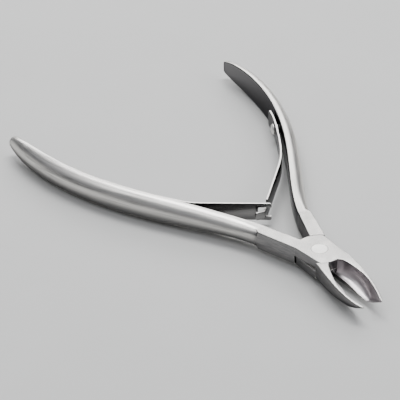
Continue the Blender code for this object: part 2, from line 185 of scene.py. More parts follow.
# Springs: starts and ends are lengths along the leaf from its seat, stations are
# distances from its nearer end and the seat itself is a share of the handle's curve
SPRING_THICKNESS = 0.5
SPRING_STANDOFF = 0.6
SPRING_SEAT = 0.614
SPRING_TAIL = 6.0
SPRING_STATION_STEP = 0.5
SPRING_PATH_STEP = 0.25
TAIL_CORNER = 1.0
TAIL_CORNER_DROP = 0.7
TAIL_STATIONS = (0.0, 0.02, 0.06, 0.12, 0.2, 0.3, 0.42, 0.55, 0.7, 0.85, TAIL_CORNER)
HEADING_TAIL = 16.0
HEADING_SEAT = 26.0
# Each leaf: heading at its root's end, free heading, root length and bend length
LEAF_A = (33.0, 53.5, 18.0, 7.0)
LEAF_B = (30.4, 46.1, 9.7, 13.6)
LEAF_EDGE = 0.11
BLEND_REACH = 28.0
FORK_END = 41.7
FORK_CORNER = 0.6
FORK_CORNER_DROP = 0.4
FORK_STATIONS = (0.9, FORK_CORNER, 0.45, 0.3, 0.2, 0.12, 0.06, 0.02, 0.0)
FORK_STATIONS_RUN = 1.2
FORK_SLOT_START = 38.4
FORK_SLOT_HALF_HEIGHT = 1.28
FORK_SLOT_CORNER = 0.3
TONGUE_START = 36.8
TONGUE_CLEARANCE = 0.6
TONGUE_SHOULDER = 0.5
TONGUE_SHOULDER_STEPS = 8
TONGUE_STRAIGHT = 1.5
TONGUE_HALF_HEIGHT = 1.08
TONGUE_CORNER = 0.45
HOOK_START = 39.4
HOOK_RADIUS = 0.85
HOOK_TURN = 53.0
HOOK_STEPS = 12
HOOK_TAIL = 2.0
HOOK_END_STATIONS = (0.6, 0.35, 0.2, 0.1, 0.04, 0.0)

# Spring rivets
RIVET_SHAFT_RADIUS = 0.8
RIVET_HEAD_RADIUS = 1.4
RIVET_HEAD_HEIGHT = 0.75
RIVET_HEAD_EDGE = 0.05
RIVET_COLLAR_RADIUS = 1.25
RIVET_GRIP = 2.1
RIVET_PLAY = 0.08
RIVET_HOLE_GAP = 0.06
RIVET_CROWN = 0.8
RIVET_CROWN_ANGLES = range(6, 91, 7)
RIVET_FILLET = 0.12
RIVET_FILLET_MIDDLE = 0.3

# Colours of the steels: between the dark and the light one by shade
STEEL_DARK = (0.185, 0.182, 0.184, 1.0)
STEEL_LIGHT = (0.76, 0.74, 0.705, 1.0)
# The grazing pair tints reflections by shade: where the shade is painted dark, grazing reflections
# are dimmed as a painted dark reflection
GRAZING_DARK = (0.27, 0.27, 0.275, 1.0)
GRAZING_LIGHT = (1.0, 1.0, 1.0, 1.0)
HOLLOW_DARK = (0.36, 0.335, 0.345, 1.0)
HOLLOW_LIGHT = (0.54, 0.51, 0.52, 1.0)
SPRING_LIGHT = (0.70, 0.68, 0.655, 1.0)
RIVET_DARK = (0.58, 0.57, 0.54, 1.0)
RIVET_LIGHT = (0.74, 0.73, 0.70, 1.0)

# Noise: scale in cycles per metre, detail and roughness. Where the grain is drawn out
# the scale has a value for each axis; streak, band and hair take centimetres across
# the handle in place of x.
STREAK_NOISE = ((26.0, 110.0, 2600.0), 5.0, 0.65)
BAND_NOISE = ((9.0, 45.0, 900.0), 2.0, 0.5)
HAIR_NOISE = ((110.0, 260.0, 11000.0), 2.0, 0.5)
LAPPING_NOISE = ((420.0, 420.0, 5200.0), 3.0, 0.5)
HONING_NOISE = ((500.0, 4200.0, 900.0), 3.0, 0.5)
ROLLING_NOISE = ((120.0, 120.0, 5200.0), 4.0, 0.6)
GRAIN_NOISE = (5200.0, 4.0, 0.7)
FORGED_CLOUD_NOISE = (160.0, 4.0, 0.55)
HOLLOW_CLOUD_NOISE = (260.0, 3.0, 0.5)
SPRING_CLOUD_NOISE = (220.0, 3.0, 0.5)
RIVET_CLOUD_NOISE = (700.0, 4.0, 0.5)
FLOOR_CLOUD_NOISE = (40.0, 3.0, 0.5)
# Rings: scale along the radius, and the noise with its place on the other two axes
RING_SCALE = 9000.0
RING_NOISE = (1.0, 2.0, 0.5)
RING_PLACE = (0.3, 0.7)
NOISE_MIDDLE = 0.5

# Roughness of each finish: how much its noise adds, and the least it has
STREAK_ROUGHNESS = (0.22, 0.20)
STREAK_CLOUD_ROUGHNESS = 0.08
INNER_ROUGHNESS = (0.12, 0.07)
FLAT_ROUGHNESS = (0.18, 0.30)
SIDE_ROUGHNESS = (0.14, 0.13)
EDGE_ROUGHNESS = 0.17
EDGE_ROUGHNESS_SHARE = 0.7
HONING_ROUGHNESS = 0.12
HOLLOW_ROUGHNESS = (0.14, 0.20)
ROLLING_ROUGHNESS = 0.14
SPRING_ROUGHNESS = (0.08, 0.06)
SPRING_RIM_ROUGHNESS = 0.32
RING_ROUGHNESS = 0.16
RIVET_ROUGHNESS = (0.10, 0.24)
FLOOR_ROUGHNESS = 0.6

# Shade of each finish: the contrast of its fine noise, and for a coarser noise
# how much it adds and the shade without it
HANDLE_CONTRAST = 1.9
HANDLE_SHADE = (1.3, 0.27)
FLAT_CONTRAST = 2.2
FLAT_SHADE = (0.9, 0.12)
SIDE_CONTRAST = 0.5
# Side walls: a painted dark reflection as their shade without the lapping noise
SIDE_PAINTED_DARK = 0.05
# How much a painted dark reflection darkens the handle's flanks
PAINTED_REFLECTION_DARKENING = -0.8
HONING_CONTRAST = 1.0
# Spring faces: contrast of their hairlines, and a shade below zero that paints a dark reflection
SPRING_HAIRLINES_AND_PAINTED_DARK = (0.4, -0.08)
RING_CONTRAST = 0.4

# Where one finish or painted shade gives way to the next, as a pair: nothing of it and all of it
HANDLE_BORDER = (-0.0142, -0.0158)      # metres along Y
INNER_BORDER = (0.03, 0.012)            # centimetres from the handle's inner face
FLAT_BORDER = (0.9, 0.99)               # upward part of the normal, without its sign
# Band along the handle's flanks that gets a painted dark reflection: its top and its bottom
PAINTED_REFLECTION_TOP_BORDER = (0.24, -0.16)        # upward part of the normal
PAINTED_REFLECTION_BOTTOM_BORDER = (-0.8, -0.4)      # upward part of the normal
# Spring rims, rougher and painted bright as a painted highlight
SPRING_RIM_BORDER = (0.4, 0.8)          # upward part of the normal, without its sign
EDGE_BORDER = (0.999, 0.93)             # cosine between the bevelled and the plain normal

# Rounded edges and relief of the finishes
FORGED_BEVEL = 0.13
HOLLOW_BEVEL = 0.10
SPRING_BEVEL = 0.08
RIVET_BEVEL = 0.10
BEVEL_SAMPLES = 4
FORGED_RELIEF = 0.008
FINE_RELIEF = 0.003
HAIR_RELIEF_SHARE = 0.6
CENTIMETRES = 100.0                     # in a metre
HANDLE_LINE_SAMPLES = 60
HANDLE_LINE_POWER = 5

# Stage, in metres and watts
FLOOR_DARK = (0.53, 0.53, 0.52, 1.0)
FLOOR_LIGHT = (0.57, 0.57, 0.56, 1.0)
FLOOR_HALF_SIZE = 2.0
FLOOR_DROP = 0.00005
LIGHT_TARGET = (0.0, -0.035, 0.0)
# Each softbox: azimuth, elevation, distance, width and height, power
SOFTBOXES = {
    "overhead": (-125.0, 66.0, 0.9, (0.7, 0.35), 8.5),
    "back": (-120.0, 27.0, 0.9, (0.8, 0.34), 4.6),
    "side": (-20.0, 60.0, 1.0, (0.25, 0.5), 1.6),
    "jaw_end": (130.0, 34.0, 0.9, (0.8, 0.34), 2.6)}
SKY_COLOUR = (0.90, 0.93, 1.0, 1.0)
SKY_RISE = (0.05, 1.0)                  # height of the view direction at the two levels
SKY_LEVELS = (0.10, 0.55)
BACKDROP_LEVEL = 0.62

# Camera: distance in metres from the joint's middle, lens and sensor in millimetres
SENSOR_WIDTH = 36.0
FOCAL_LENGTH = 229.8
CAMERA_DISTANCE = 0.6035
CAMERA_AZIMUTH = 53.445
CAMERA_ELEVATION = 34.50
CAMERA_ROLL = 0.57
CAMERA_PAN = 2.679
CAMERA_TILT = 1.281
CLIP_START = 0.01
CLIP_END = 10.0


def smooth(value):
    """Ease from 0 to 1, level at both ends."""
    value = min(max(value, 0.0), 1.0)
    return value * value * (3.0 - 2.0 * value)


# --------------------------------------------------------------- materials

class Nodes:
    """Small helper that wires shader nodes together."""

    def __init__(self, material):
        material.use_nodes = True
        self.tree = material.node_tree
        self.shader = self.tree.nodes["Principled BSDF"]

    def link(self, value, socket):
        """Feed a socket from another node's output or with a plain value."""
        if isinstance(value, bpy.types.NodeSocket):
            self.tree.links.new(value, socket)
        else:
            socket.default_value = value

    def math(self, operation, *values, clamp=False):
        node = self.tree.nodes.new("ShaderNodeMath")
        node.operation = operation
        node.use_clamp = clamp
        for value, socket in zip(values, node.inputs):
            self.link(value, socket)
        return node.outputs[0]

    def times(self, a, b):
        return self.math("MULTIPLY", a, b)

    def scaled(self, value, factor, offset, clamp=False):
        """value * factor + offset"""
        return self.math("MULTIPLY_ADD", value, factor, offset, clamp=clamp)

    def contrast(self, noise, strength, shade):
        """Shade with noise laid over it, kept between 0 and 1."""
        return self.scaled(self.math("SUBTRACT", noise, NOISE_MIDDLE), strength, shade, clamp=True)

    def vector_math(self, operation, a, b, output):
        node = self.tree.nodes.new("ShaderNodeVectorMath")
        node.operation = operation
        self.link(a, node.inputs[0])
        self.link(b, node.inputs[1])
        return node.outputs[output]

    def dot(self, a, b):
        return self.vector_math("DOT_PRODUCT", a, b, "Value")

    def combine(self, x, y, z):
        node = self.tree.nodes.new("ShaderNodeCombineXYZ")
        for value, socket in zip((x, y, z), node.inputs):
            self.link(value, socket)
        return node.outputs[0]

    def separate(self, vector):
        """The three parts of a vector."""
        node = self.tree.nodes.new("ShaderNodeSeparateXYZ")
        self.link(vector, node.inputs[0])
        return node.outputs

    def noise(self, vector, scale, detail, roughness):
        node = self.tree.nodes.new("ShaderNodeTexNoise")
        self.link(vector, node.inputs["Vector"])
        node.inputs["Scale"].default_value = scale
        node.inputs["Detail"].default_value = detail
        node.inputs["Roughness"].default_value = roughness
        return node.outputs[0]

    def drawn_noise(self, place, scales, detail, roughness):
        """Noise with its own scale on each of the three axes."""
        scaled = [self.times(value, scale) for value, scale in zip(place, scales)]
        return self.noise(self.combine(*scaled), 1.0, detail, roughness)

    def ramp(self, value, border):
        """0 before the border, 1 past it and smooth between."""
        node = self.tree.nodes.new("ShaderNodeMapRange")
        node.interpolation_type = "SMOOTHSTEP"
        self.link(value, node.inputs["Value"])
        node.inputs["From Min"].default_value = border[0]
        node.inputs["From Max"].default_value = border[1]
        return node.outputs[0]

    def mix(self, factor, a, b):
        """Mix of two numbers."""
        node = self.tree.nodes.new("ShaderNodeMix")
        self.link(factor, node.inputs[0])
        self.link(a, node.inputs[2])
        self.link(b, node.inputs[3])
        return node.outputs[0]

    def tint(self, factor, a, b):
        """Mix of two colours."""
        node = self.tree.nodes.new("ShaderNodeMix")
        node.data_type = "RGBA"
        self.link(factor, node.inputs[0])
        self.link(a, node.inputs[6])
        self.link(b, node.inputs[7])
        return node.outputs[2]

    def bump(self, height, depth, normal):
        """Relief of a depth in millimetres on a surface."""
        node = self.tree.nodes.new("ShaderNodeBump")
        node.inputs["Strength"].default_value = 1.0
        node.inputs["Distance"].default_value = depth * MM
        self.link(height, node.inputs["Height"])
        self.link(normal, node.inputs["Normal"])
        return node.outputs[0]

    def bevel(self, radius):
        """Normal of the surface with its edges rounded to a radius in millimetres."""
        node = self.tree.nodes.new("ShaderNodeBevel")
        node.samples = BEVEL_SAMPLES
        node.inputs["Radius"].default_value = radius * MM
        return node.outputs[0]

    def position(self):
        return self.tree.nodes.new("ShaderNodeTexCoord").outputs["Object"]

    def geometry_normal(self):
        """Normal of the smooth-shaded surface, before any bump or bevel."""
        return self.tree.nodes.new("ShaderNodeNewGeometry").outputs["Normal"]

    def polynomial(self, value, coefficients):
        """Horner evaluation, highest power first."""
        total = float(coefficients[0])
        for coefficient in coefficients[1:]:
            total = self.scaled(total, value, float(coefficient))
        return total


def finish_shader(nodes, colour, roughness, normal, shade=None):
    """Wire a metal; a low shade also dims what it reflects at grazing angles."""
    nodes.link(colour, nodes.shader.inputs["Base Color"])
    if shade:
        grazing = nodes.tint(shade, GRAZING_DARK, GRAZING_LIGHT)
        nodes.link(grazing, nodes.shader.inputs["Specular Tint"])
    nodes.link(roughness, nodes.shader.inputs["Roughness"])
    nodes.link(normal, nodes.shader.inputs["Normal"])
    nodes.shader.inputs["Metallic"].default_value = 1.0


def edge_mask(nodes, rounded):
    """High where the surface turns over an edge."""
    straight = nodes.dot(rounded, nodes.geometry_normal())
    return nodes.ramp(straight, EDGE_BORDER)


def handle_point(t):
    """Point and unit tangent of the handle's inner face in plan."""
    p0, p1, p2, p3 = (Vector(p) for p in HANDLE_CURVE)
    s = 1.0 - t
    point = p0 * s**3 + p1 * 3 * s * s * t + p2 * 3 * s * t * t + p3 * t**3
    slope = (p1 - p0) * s * s + (p2 - p1) * 2 * s * t + (p3 - p2) * t * t
    return point, slope.normalized()


def handle_line_coefficients():
    """Polynomial x(y) of the handle's inner face, in centimetres."""
    count = HANDLE_LINE_SAMPLES
    points = [handle_point(i / count)[0] for i in range(count + 1)]
    ys = [p.y * MM * CENTIMETRES for p in points]
    xs = [p.x * MM * CENTIMETRES for p in points]
    return np.polyfit(ys, xs, HANDLE_LINE_POWER)


def forged_steel(name):
    """Levers: brushed handles, fine-grained flats and smoother side walls; painted dark
    reflections on the side walls, the handles' flanks and inner faces, and edges painted bright
    for wear and a painted highlight.
    """
    material = bpy.data.materials.new(name)
    nodes = Nodes(material)
    x, y, z = nodes.separate(nodes.position())
    line = nodes.polynomial(nodes.times(y, CENTIMETRES), handle_line_coefficients())
    side_x = nodes.times(nodes.math("ABSOLUTE", x), CENTIMETRES)
    across = nodes.math("SUBTRACT", side_x, line)

    streak = nodes.drawn_noise((across, y, z), *STREAK_NOISE)
    band = nodes.drawn_noise((across, y, z), *BAND_NOISE)
    hair = nodes.drawn_noise((across, y, z), *HAIR_NOISE)
    lapping = nodes.drawn_noise((x, y, z), *LAPPING_NOISE)
    grain = nodes.noise(nodes.position(), *GRAIN_NOISE)
    cloud = nodes.noise(nodes.position(), *FORGED_CLOUD_NOISE)

    # Where each finish lies, and where shade and highlights are painted
    up = nodes.separate(nodes.geometry_normal())[2]
    on_handle = nodes.ramp(y, HANDLE_BORDER)
    off_handle = nodes.math("SUBTRACT", 1.0, on_handle)
    on_flat = nodes.times(nodes.ramp(nodes.math("ABSOLUTE", up), FLAT_BORDER), off_handle)
    inner_face = nodes.times(nodes.ramp(across, INNER_BORDER), on_handle)
    # Painted reflection: a dark band along the handle's flanks, fading out over its top and its
    # underside
    painted_reflection_band = nodes.times(nodes.ramp(up, PAINTED_REFLECTION_TOP_BORDER), nodes.ramp(up, PAINTED_REFLECTION_BOTTOM_BORDER))
    rounded = nodes.bevel(FORGED_BEVEL)
    edge = edge_mask(nodes, rounded)

    handle_rough = nodes.scaled(streak, *STREAK_ROUGHNESS)
    handle_rough = nodes.scaled(cloud, STREAK_CLOUD_ROUGHNESS, handle_rough)
    rough = nodes.mix(on_handle, nodes.scaled(lapping, *SIDE_ROUGHNESS), handle_rough)
    rough = nodes.mix(inner_face, rough, nodes.scaled(cloud, *INNER_ROUGHNESS))
    rough = nodes.mix(on_flat, rough, nodes.scaled(grain, *FLAT_ROUGHNESS))
    rough = nodes.mix(nodes.times(edge, EDGE_ROUGHNESS_SHARE), rough, EDGE_ROUGHNESS)

    handle_shade = nodes.contrast(streak, HANDLE_CONTRAST, nodes.scaled(band, *HANDLE_SHADE))
    # Painted dark reflection along the handle's flanks
    handle_shade = nodes.times(handle_shade, nodes.scaled(painted_reflection_band, PAINTED_REFLECTION_DARKENING, 1.0))
    # Painted dark reflection: the handle's inner face takes the darkest steel
    handle_shade = nodes.mix(inner_face, handle_shade, 0.0)
    flat_shade = nodes.contrast(grain, FLAT_CONTRAST, nodes.scaled(cloud, *FLAT_SHADE))
    # Side walls: lapping marks over a painted dark reflection
    side_lapping_and_painted_dark = nodes.contrast(lapping, SIDE_CONTRAST, SIDE_PAINTED_DARK)
    shade = nodes.mix(on_handle, side_lapping_and_painted_dark, handle_shade)
    shade = nodes.mix(on_flat, shade, flat_shade)
    # Edges painted bright: partly wear, partly a painted highlight
    shade = nodes.mix(edge, shade, 1.0)
    colour = nodes.tint(shade, STEEL_DARK, STEEL_LIGHT)

    brushing = nodes.math("ADD", streak, nodes.times(hair, HAIR_RELIEF_SHARE))
    relief = nodes.mix(on_handle, lapping, brushing)
    relief = nodes.mix(inner_face, relief, NOISE_MIDDLE)
    relief = nodes.mix(on_flat, relief, grain)
    finish_shader(nodes, colour, rough, nodes.bump(relief, FORGED_RELIEF, rounded), shade)
    return material


def hollow_steel(name):
    """Jaw hollows: smooth ground bowl with faint circular honing marks."""
    material = bpy.data.materials.new(name)
    nodes = Nodes(material)
    place = nodes.separate(nodes.position())
    honing = nodes.drawn_noise(place, *HONING_NOISE)
    cloud = nodes.noise(nodes.position(), *HOLLOW_CLOUD_NOISE)
    rough = nodes.scaled(honing, HONING_ROUGHNESS, nodes.scaled(cloud, *HOLLOW_ROUGHNESS))
    rounded = nodes.bevel(HOLLOW_BEVEL)
    shade = nodes.contrast(honing, HONING_CONTRAST, cloud)
    colour = nodes.tint(shade, HOLLOW_DARK, HOLLOW_LIGHT)
    finish_shader(nodes, colour, rough, nodes.bump(honing, FINE_RELIEF, rounded))
    return material


def spring_steel(name):
    """Leaf springs: rolled strip, polished, with lengthwise hairlines, faces painted dark as a
    painted reflection and rims painted bright as a painted highlight.
    """
    material = bpy.data.materials.new(name)
    nodes = Nodes(material)
    place = nodes.separate(nodes.position())
    hair = nodes.drawn_noise(place, *ROLLING_NOISE)
    cloud = nodes.noise(nodes.position(), *SPRING_CLOUD_NOISE)
    rounded = nodes.bevel(SPRING_BEVEL)
    up = nodes.separate(nodes.geometry_normal())[2]
    upright = nodes.ramp(nodes.math("ABSOLUTE", up), SPRING_RIM_BORDER)
    rim = nodes.math("MAXIMUM", edge_mask(nodes, rounded), upright)
    rough = nodes.scaled(hair, ROLLING_ROUGHNESS, nodes.scaled(cloud, *SPRING_ROUGHNESS))
    rough = nodes.mix(rim, rough, SPRING_RIM_ROUGHNESS)
    # Spring faces painted dark as a painted reflection, their rims painted bright as a painted
    # highlight
    shade = nodes.mix(rim, nodes.scaled(hair, *SPRING_HAIRLINES_AND_PAINTED_DARK, clamp=True), 1.0)
    colour = nodes.tint(shade, STEEL_DARK, SPRING_LIGHT)
    finish_shader(nodes, colour, rough, nodes.bump(hair, FINE_RELIEF, rounded), shade)
    return material


def turned_steel(name, centre, axis):
    """Rivets: rings left by the peening tool around the axis."""
    material = bpy.data.materials.new(name)
    nodes = Nodes(material)
    offset = nodes.vector_math("SUBTRACT", nodes.position(), centre, "Vector")
    along = nodes.dot(offset, tuple(axis))
    squared = nodes.math("SUBTRACT", nodes.dot(offset, offset), nodes.times(along, along))
    radius = nodes.math("SQRT", nodes.math("MAXIMUM", squared, 0.0))
    ring_place = nodes.combine(nodes.times(radius, RING_SCALE), *RING_PLACE)
    rings = nodes.noise(ring_place, *RING_NOISE)
    cloud = nodes.noise(nodes.position(), *RIVET_CLOUD_NOISE)
    rough = nodes.scaled(rings, RING_ROUGHNESS, nodes.scaled(cloud, *RIVET_ROUGHNESS))
    rounded = nodes.bevel(RIVET_BEVEL)
    shade = nodes.scaled(rings, RING_CONTRAST, cloud, clamp=True)
    colour = nodes.tint(shade, RIVET_DARK, RIVET_LIGHT)
    finish_shader(nodes, colour, rough, nodes.bump(rings, FINE_RELIEF, rounded))
    return material


# -------------------------------------------------------------- mesh tools

def add_object(name, data):
    """Put a mesh, light or camera into the scene."""
    obj = bpy.data.objects.new(name, data)
    bpy.context.scene.collection.objects.link(obj)
    return obj


def mesh_from(name, bm):
    """Mesh with its normals outward."""
    bmesh.ops.recalc_face_normals(bm, faces=bm.faces[:])
    mesh = bpy.data.meshes.new(name)
    bm.to_mesh(mesh)
    bm.free()
    return mesh


def loft(name, rings, slots=None):
    """Skin closed rings of equal point counts and cap both ends."""
    bm = bmesh.new()
    loops = [[bm.verts.new(Vector(p) * MM) for p in ring] for ring in rings]
    count = len(rings[0])
    for first, second in zip(loops, loops[1:]):
        for i in range(count):
            j = (i + 1) % count
            face = bm.faces.new((first[i], first[j], second[j], second[i]))
            face.material_index = slots[i] if slots else 0
    bm.faces.new(loops[0])
    bm.faces.new(loops[-1])
    return mesh_from(name, bm)


def inset(outline, amount):
    """Move each side of a flat outline inward by the same amount."""
    area = 0.0
    count = len(outline)
    for i in range(count):
        x0, y0 = outline[i]
        x1, y1 = outline[(i + 1) % count]
        area += x0 * y1 - x1 * y0
    turn = 1.0 if area > 0 else -1.0
    moved = []
    for i in range(count):
        here = Vector(outline[i])
        back = (here - Vector(outline[i - 1])).normalized()
        ahead = (Vector(outline[(i + 1) % count]) - here).normalized()
        n0 = Vector((-back.y, back.x)) * turn
        n1 = Vector((-ahead.y, ahead.x)) * turn
        bisector = (n0 + n1).normalized()
        scale = amount / max(MITRE_LIMIT, bisector.dot(n0))
        moved.append(tuple(here + bisector * scale))
    return moved


def quarter_turn(steps):
    """Angles from 0 to a right angle, both included."""
    return [pi / 2 * i / steps for i in range(steps + 1)]


def rounded_plate(name, outline, bottom, top, round_bottom=0.0, round_top=0.0):
    """Flat plate whose upper and lower edges are rounded over."""
    levels = []
    for angle in quarter_turn(FILLET_STEPS) if round_bottom else [0.0]:
        levels.append((bottom + round_bottom * (1 - cos(angle)),
                       round_bottom * (1 - sin(angle))))
    for angle in quarter_turn(FILLET_STEPS) if round_top else [0.0]:
        levels.append((top - round_top * (1 - sin(angle)),
                       round_top * (1 - cos(angle))))
    rings = []
    for z, amount in levels:
        ring = inset(outline, amount) if amount else outline
        rings.append([(x, y, z) for x, y in ring])
    return loft(name, rings)


def arc_points(radius, start, end):
    """Points of an arc about the pivot, from one angle to the other."""
    count = round((end - start) / ARC_STEP)
    points = []
    for i in range(count + 1):
        angle = radians(start + (end - start) * i / count)
        points.append((radius * cos(angle), radius * sin(angle)))
    return points


def turned(name, profile, segments):
    """Turn a profile of (radius, height) pairs about Z, ends on the axis."""
    rings = []
    for radius, z in profile[1:-1]:
        ring = []
        for i in range(segments):
            angle = 2 * pi * i / segments
            ring.append((radius * cos(angle), radius * sin(angle), z))
        rings.append(ring)
    return loft(name, rings)


def boolean(obj, mesh, operation):
    """Join a mesh to an object or cut it out, and use the mesh up."""
    tool = add_object("tool", mesh)
    modifier = obj.modifiers.new("cut", "BOOLEAN")
    modifier.object = tool
    modifier.operation = operation
    modifier.solver = "EXACT"
    modifier.material_mode = "TRANSFER"
    bpy.context.view_layer.update()
    depsgraph = bpy.context.evaluated_depsgraph_get()
    result = bpy.data.meshes.new_from_object(obj.evaluated_get(depsgraph))
    obj.modifiers.clear()
    old = obj.data
    obj.data = result
    bpy.data.meshes.remove(old)
    bpy.data.objects.remove(tool)
    bpy.data.meshes.remove(mesh)


def smooth_faces(obj, angle):
    """Shade smooth across every edge that is flatter than an angle."""
    obj.data.shade_smooth()
    obj.data.set_sharp_from_angle(angle=radians(angle))


def raise_to_joint(obj):
    """Move a mesh drawn about the middle of the joint up to its place."""
    obj.data.transform(Matrix.Translation(Vector((0.0, 0.0, LIFT))))


# ------------------------------------------------------------------ levers

def handle_size(t):
    """Half height and depth of the handle's section."""
    swell = smooth(t / SWELL_LENGTH)
    taper = max(0.0, (t - TAPER_START) / TAPER_LENGTH)
    height = HANDLE_NECK_HALF_HEIGHT
    height += (HANDLE_HALF_HEIGHT - HANDLE_NECK_HALF_HEIGHT) * swell
    height *= sqrt(max(0.0, 1.0 - taper**TAPER_HEIGHT_POWER))
    depth = HANDLE_NECK_DEPTH + (HANDLE_DEPTH - HANDLE_NECK_DEPTH) * swell
    depth *= sqrt(max(0.0, 1.0 - (taper * TAPER_DEPTH_SHARE)**TAPER_DEPTH_POWER))
    return height, depth


def handle_section(t, half_height, depth):
    """D section with small fillets beside its flat inner face."""
    edge = min(HANDLE_EDGE, half_height * FILLET_LIMIT, depth * FILLET_LIMIT)
    round_off = smooth(t / NECK_LENGTH)
    power = NECK_ROUNDNESS + (HANDLE_ROUNDNESS - NECK_ROUNDNESS) * round_off
    half = []
    for angle in quarter_turn(FILLET_STEPS):
        half.append((edge * (1 - cos(angle)), half_height - edge * (1 - sin(angle))))
    for i in range(1, HANDLE_QUARTER_POINTS + 1):
        angle = pi / 2 * (1 - i / HANDLE_QUARTER_POINTS)
        out = edge + (depth - edge) * abs(cos(angle))**power
        half.append((out, half_height * sin(angle)))
    mirrored = [(out, -z) for out, z in reversed(half[:-1])]
    return [(0.0, 0.0)] + half + mirrored


def handle_stations():
    """(t, length beyond the curve's end, height share, depth share) of each ring."""
    stations = []
    for angle in START_ANGLES:
        grow = sin(radians(angle))
        stations.append((0.0, -START_RAMP * cos(radians(angle)),
                         START_HEIGHT + (1.0 - START_HEIGHT) * grow,
                         START_DEPTH + (1.0 - START_DEPTH) * grow))
    for i in range(1, HANDLE_STATIONS + 1):
        stations.append((i / HANDLE_STATIONS, 0.0, 1.0, 1.0))
    for angle in END_ANGLES:
        shrink = sin(radians(angle))
        stations.append((1.0, END_DOME * cos(radians(angle)), shrink, shrink))
    return stations


def handle_mesh(name, side):
    """Handle swept along its curve, with a ramp at its start and a dome at its end."""
    rings = []
    for t, beyond, height_share, depth_share in handle_stations():
        point, tangent = handle_point(t)
        height, depth = handle_size(t)
        outward = Vector((-tangent.y, tangent.x))
        base = point + tangent * beyond
        base += outward * depth * (1.0 - depth_share) * DOME_CENTRE
        ring = []
        for out, z in handle_section(t, height * height_share, depth * depth_share):
            plan = base + outward * out
            ring.append((side * plan.x, plan.y, z))
        rings.append(ring)
    return loft(name, rings)


def jaw_width(jaw, y):
    """Half width of one jaw's outline at a distance from the pivot axis."""
    _, base, outline_power, root = jaw
    along = min(y / (JAW_TIP + JAW_BLUNTNESS), 1.0)
    return JAW_TIP_WIDTH + (base - JAW_TIP_WIDTH) * (1.0 - along**outline_power)**root


def jaw_hollow(y, width):
    """Half width of the hollow inside a rim that thickens toward the joint."""
    back = max(0.0, (RIM_GROWTH_END - y) / RIM_GROWTH_RUN)
    rim = min(RIM + RIM_GROWTH * back**RIM_GROWTH_POWER, RIM_SHARE * width + RIM_GROWTH * back)
    opened = min(max((y - HOLLOW_START) / HOLLOW_RUN, 0.0), 1.0)
    return max(0.0, width - rim) * (1.0 - (1.0 - opened)**2)


def jaw_heights(y):
    """Top, bottom and floor thickness of the jaw."""
    slope = max(0.0, (y - TOP_SLOPE_START) / (JAW_TIP - TOP_SLOPE_START))
    top = HALF_JOINT - (HALF_JOINT - TIP_TOP) * slope**TOP_SLOPE_POWER
    rise = max(0.0, (y - BOTTOM_RISE_START) / (JAW_TIP - BOTTOM_RISE_START))
    bottom = -HALF_JOINT + (HALF_JOINT + TIP_BOTTOM) * rise**BOTTOM_RISE_POWER
    thinning = smooth((y - FLOOR_START) / FLOOR_RUN)
    floor = FLOOR_THICK + (FLOOR_THIN - FLOOR_THICK) * thinning
    return top, bottom, min(floor, (top - bottom) * FLOOR_SHARE)


def jaw_section(jaw, y):
    """Half-spoon section with rounded rims, and the slot of each of its faces."""
    count = JAW_ARC_POINTS
    width = jaw_width(jaw, y)
    inner = jaw_hollow(y, width)
    top, bottom, floor = jaw_heights(y)
    rounding = smooth((y - ROUNDING_START) / ROUNDING_RUN)
    power = 2.0 / (SQUARE_POWER + (ROUND_POWER - SQUARE_POWER) * rounding)
    drop = top - bottom
    fillet = min(RIM_ROUND, drop * RIM_ROUND_LIMIT, (width - inner) * FILLET_LIMIT)
    hollow = drop - floor
    ring = []
    slots = []
    for angle in quarter_turn(FILLET_STEPS):
        ring.append((width - fillet * (1 - sin(angle)), top - fillet * (1 - cos(angle))))
        slots.append(0)
    for i in range(1, count):
        angle = pi / 2 * i / (count - 1)
        out = width * cos(angle)**power if i < count - 1 else 0.0
        ring.append((out, top - fillet - (drop - fillet) * sin(angle)**power))
        slots.append(0)
    for i in reversed(range(count)):
        angle = pi / 2 * i / (count - 1)
        out = inner * cos(angle)**HOLLOW_POWER if i < count - 1 else 0.0
        ring.append((out, top - fillet - (hollow - fillet) * sin(angle)**HOLLOW_POWER))
        slots.append(1)
    slots[-1] = 0
    for angle in quarter_turn(FILLET_STEPS)[1:]:
        ring.append((inner + fillet * (1 - cos(angle)), top - fillet * (1 - sin(angle))))
        slots.append(0)
    return ring, slots


def jaw_mesh(name, side, jaw):
    """Jaw from the joint to its tip, turned to its place beside the other."""
    count = int((JAW_FINE_START - JAW_START) / JAW_STEP) + 1
    stations = [JAW_START + JAW_STEP * i for i in range(count)] + list(JAW_FINE_STATIONS)
    rotation = Matrix.Rotation(radians(jaw[0]), 2)
    rings = []
    for y in stations:
        section, slots = jaw_section(jaw, y)
        ring = []
        for out, z in section:
            plan = rotation @ Vector((-out - JAW_MEETING_GAP, y))
            ring.append((side * plan.x, plan.y, z))
        rings.append(ring)
    return loft(name, rings, slots)


def lap_outline(side):
    """Disc of the lap, flat outside its jaw and cut straight from its shank to a corner."""
    cut = 180.0 - degrees(acos(LAP_FLAT_OFFSET / LAP_RADIUS))
    right_low = degrees(atan2(SHANK_OUTER[2][1], SHANK_OUTER[2][0]))
    points = arc_points(LAP_RADIUS, LAP_CORNER_ANGLE, cut)
    points += arc_points(LAP_RADIUS, 360.0 - cut, 360.0 + right_low)
    return [(side * x, y) for x, y in points]


